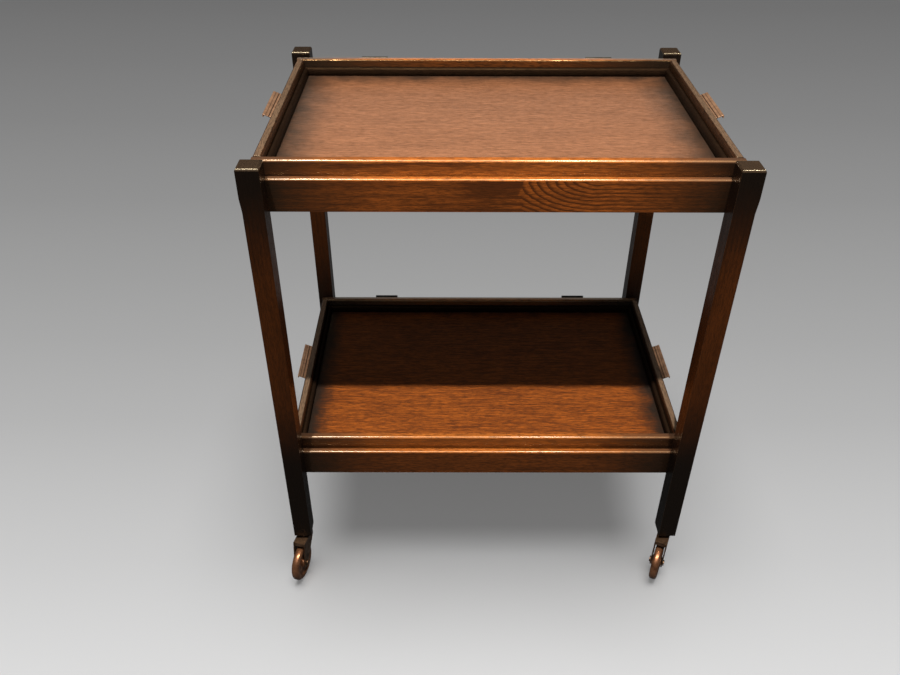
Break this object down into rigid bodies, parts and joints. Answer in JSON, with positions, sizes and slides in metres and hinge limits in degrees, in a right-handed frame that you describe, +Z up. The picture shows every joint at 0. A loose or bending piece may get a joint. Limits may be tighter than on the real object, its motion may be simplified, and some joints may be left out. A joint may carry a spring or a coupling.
{
  "type": "folding tea trolley",
  "caption": "Folding two-tier tea trolley in dark oak: square legs on swivel casters, rimmed trays with metal lip handles, jack-knife stays that let the frames close.",
  "frame": {"origin": "on the floor, under the middle of the trolley", "axes": "+X along the trays to the right, +Y from the front to the hinged back, +Z up"},
  "size_m": [0.6532, 0.5666, 0.752],
  "materials": {
    "dark_oak": "dark stained oak, polished",
    "tray_panel": "dark stained oak veneer, polished",
    "bronze": "bronzed sheet, worn at the edges",
    "caster_metal": "bronzed pressed steel",
    "wheel": "brown moulded wheel, polished by wear",
    "steel": "plain steel, slightly dulled",
    "brass": "brass wood screws"
  },
  "bodies": {
    "front_frame": {"front_left_leg": "dark_oak", "front_right_leg": "dark_oak", "front_upper_rail": "dark_oak", "front_lower_rail": "dark_oak", "front_rail_screws": "brass", "front_stay_brackets": "steel", "front_stay_pins": "steel", "front_caster_sockets": "caster_metal", "front_tray_ledges": "dark_oak"},
    "back_frame": {"back_left_leg": "dark_oak", "back_right_leg": "dark_oak", "back_upper_rail": "dark_oak", "back_lower_rail": "dark_oak", "back_rail_screws": "brass", "back_stay_brackets": "steel", "back_stay_pins": "steel", "back_caster_sockets": "caster_metal", "tray_hinge_feet": "steel", "tray_hinge_pins": "steel"},
    "upper_left_back_stay": {"upper_left_back_stay": "dark_oak", "upper_left_middle_pin": "steel"},
    "upper_left_front_stay": {"upper_left_front_stay": "dark_oak"},
    "upper_right_back_stay": {"upper_right_back_stay": "dark_oak", "upper_right_middle_pin": "steel"},
    "upper_right_front_stay": {"upper_right_front_stay": "dark_oak"},
    "lower_left_back_stay": {"lower_left_back_stay": "dark_oak", "lower_left_middle_pin": "steel"},
    "lower_left_front_stay": {"lower_left_front_stay": "dark_oak"},
    "lower_right_back_stay": {"lower_right_back_stay": "dark_oak", "lower_right_middle_pin": "steel"},
    "lower_right_front_stay": {"lower_right_front_stay": "dark_oak"},
    "upper_tray": {"upper_tray_base": "tray_panel", "upper_tray_front_rim": "dark_oak", "upper_tray_back_rim": "dark_oak", "upper_tray_left_rim": "dark_oak", "upper_tray_right_rim": "dark_oak", "upper_tray_beading": "dark_oak", "upper_tray_handles": "bronze", "upper_tray_hinge_leaves": "steel"},
    "lower_tray": {"lower_tray_base": "tray_panel", "lower_tray_front_rim": "dark_oak", "lower_tray_back_rim": "dark_oak", "lower_tray_left_rim": "dark_oak", "lower_tray_right_rim": "dark_oak", "lower_tray_beading": "dark_oak", "lower_tray_handles": "bronze", "lower_tray_hinge_leaves": "steel"},
    "front_left_caster": {"front_left_caster_fork": "caster_metal", "front_left_caster_axle": "caster_metal"},
    "front_left_wheel": {"front_left_caster_wheel": "wheel"},
    "front_right_caster": {"front_right_caster_fork": "caster_metal", "front_right_caster_axle": "caster_metal"},
    "front_right_wheel": {"front_right_caster_wheel": "wheel"},
    "back_left_caster": {"back_left_caster_fork": "caster_metal", "back_left_caster_axle": "caster_metal"},
    "back_left_wheel": {"back_left_caster_wheel": "wheel"},
    "back_right_caster": {"back_right_caster_fork": "caster_metal", "back_right_caster_axle": "caster_metal"},
    "back_right_wheel": {"back_right_caster_wheel": "wheel"}
  },
  "joints": [
    {"name": "fold", "type": "hinge", "parent": "back_frame", "child": "upper_left_back_stay", "pos_m": [-0.288, 0.189, 0.6943], "axis": [0, 0, 1], "range_deg": [0, 74]},
    {"name": "upper_left_middle_fold", "type": "hinge", "parent": "upper_left_back_stay", "child": "upper_left_front_stay", "pos_m": [-0.288, 0, 0.6943], "axis": [0, 0, -1], "range_deg": [0, 148]},
    {"name": "upper_right_back_fold", "type": "hinge", "parent": "back_frame", "child": "upper_right_back_stay", "pos_m": [0.288, 0.189, 0.6943], "axis": [0, 0, -1], "range_deg": [0, 74]},
    {"name": "upper_right_middle_fold", "type": "hinge", "parent": "upper_right_back_stay", "child": "upper_right_front_stay", "pos_m": [0.288, 0, 0.6943], "axis": [0, 0, 1], "range_deg": [0, 148]},
    {"name": "lower_left_back_fold", "type": "hinge", "parent": "back_frame", "child": "lower_left_back_stay", "pos_m": [-0.288, 0.189, 0.2223], "axis": [0, 0, 1], "range_deg": [0, 74]},
    {"name": "lower_left_middle_fold", "type": "hinge", "parent": "lower_left_back_stay", "child": "lower_left_front_stay", "pos_m": [-0.288, 0, 0.2223], "axis": [0, 0, -1], "range_deg": [0, 148]},
    {"name": "lower_right_back_fold", "type": "hinge", "parent": "back_frame", "child": "lower_right_back_stay", "pos_m": [0.288, 0.189, 0.2223], "axis": [0, 0, -1], "range_deg": [0, 74]},
    {"name": "lower_right_middle_fold", "type": "hinge", "parent": "lower_right_back_stay", "child": "lower_right_front_stay", "pos_m": [0.288, 0, 0.2223], "axis": [0, 0, 1], "range_deg": [0, 148]},
    {"name": "front_frame_fold", "type": "hinge", "parent": "upper_left_front_stay", "child": "front_frame", "pos_m": [-0.288, -0.189, 0.6943], "axis": [0, 0, 1], "range_deg": [0, 74]},
    {"name": "upper_tray_swing", "type": "hinge", "parent": "back_frame", "child": "upper_tray", "pos_m": [0, 0.2078, 0.743], "axis": [-1, 0, 0], "range_deg": [0, 80]},
    {"name": "lower_tray_swing", "type": "hinge", "parent": "back_frame", "child": "lower_tray", "pos_m": [0, 0.2078, 0.271], "axis": [-1, 0, 0], "range_deg": [0, 80]},
    {"name": "front_left_swivel", "type": "hinge", "parent": "front_frame", "child": "front_left_caster", "pos_m": [-0.307, -0.227, 0.085], "axis": [0, 0, 1], "continuous": true},
    {"name": "front_left_roll", "type": "hinge", "parent": "front_left_caster", "child": "front_left_wheel", "pos_m": [-0.31329, -0.25223, 0.0315], "axis": [0.9703, -0.2419, 0], "continuous": true},
    {"name": "front_right_swivel", "type": "hinge", "parent": "front_frame", "child": "front_right_caster", "pos_m": [0.307, -0.227, 0.085], "axis": [0, 0, 1], "continuous": true},
    {"name": "front_right_roll", "type": "hinge", "parent": "front_right_caster", "child": "front_right_wheel", "pos_m": [0.29642, -0.25075, 0.0315], "axis": [0.9135, -0.4067, 0], "continuous": true},
    {"name": "back_left_swivel", "type": "hinge", "parent": "back_frame", "child": "back_left_caster", "pos_m": [-0.307, 0.227, 0.085], "axis": [0, 0, 1], "continuous": true},
    {"name": "back_left_roll", "type": "hinge", "parent": "back_left_caster", "child": "back_left_wheel", "pos_m": [-0.29642, 0.25075, 0.0315], "axis": [-0.9135, 0.4067, 0], "continuous": true},
    {"name": "back_right_swivel", "type": "hinge", "parent": "back_frame", "child": "back_right_caster", "pos_m": [0.307, 0.227, 0.085], "axis": [0, 0, 1], "continuous": true},
    {"name": "back_right_roll", "type": "hinge", "parent": "back_right_caster", "child": "back_right_wheel", "pos_m": [0.31329, 0.25223, 0.0315], "axis": [-0.9703, 0.2419, 0], "continuous": true}
  ],
  "couplings": [
    {"joint": "upper_left_middle_fold", "follows": "fold", "ratio": 2},
    {"joint": "upper_right_back_fold", "follows": "fold", "ratio": 1},
    {"joint": "upper_right_middle_fold", "follows": "fold", "ratio": 2},
    {"joint": "lower_left_back_fold", "follows": "fold", "ratio": 1},
    {"joint": "lower_left_middle_fold", "follows": "fold", "ratio": 2},
    {"joint": "lower_right_back_fold", "follows": "fold", "ratio": 1},
    {"joint": "lower_right_middle_fold", "follows": "fold", "ratio": 2},
    {"joint": "front_frame_fold", "follows": "fold", "ratio": 1},
    {"joint": "upper_tray_swing", "follows": "fold", "ratio": 1.08},
    {"joint": "lower_tray_swing", "follows": "fold", "ratio": 1.08}
  ]
}
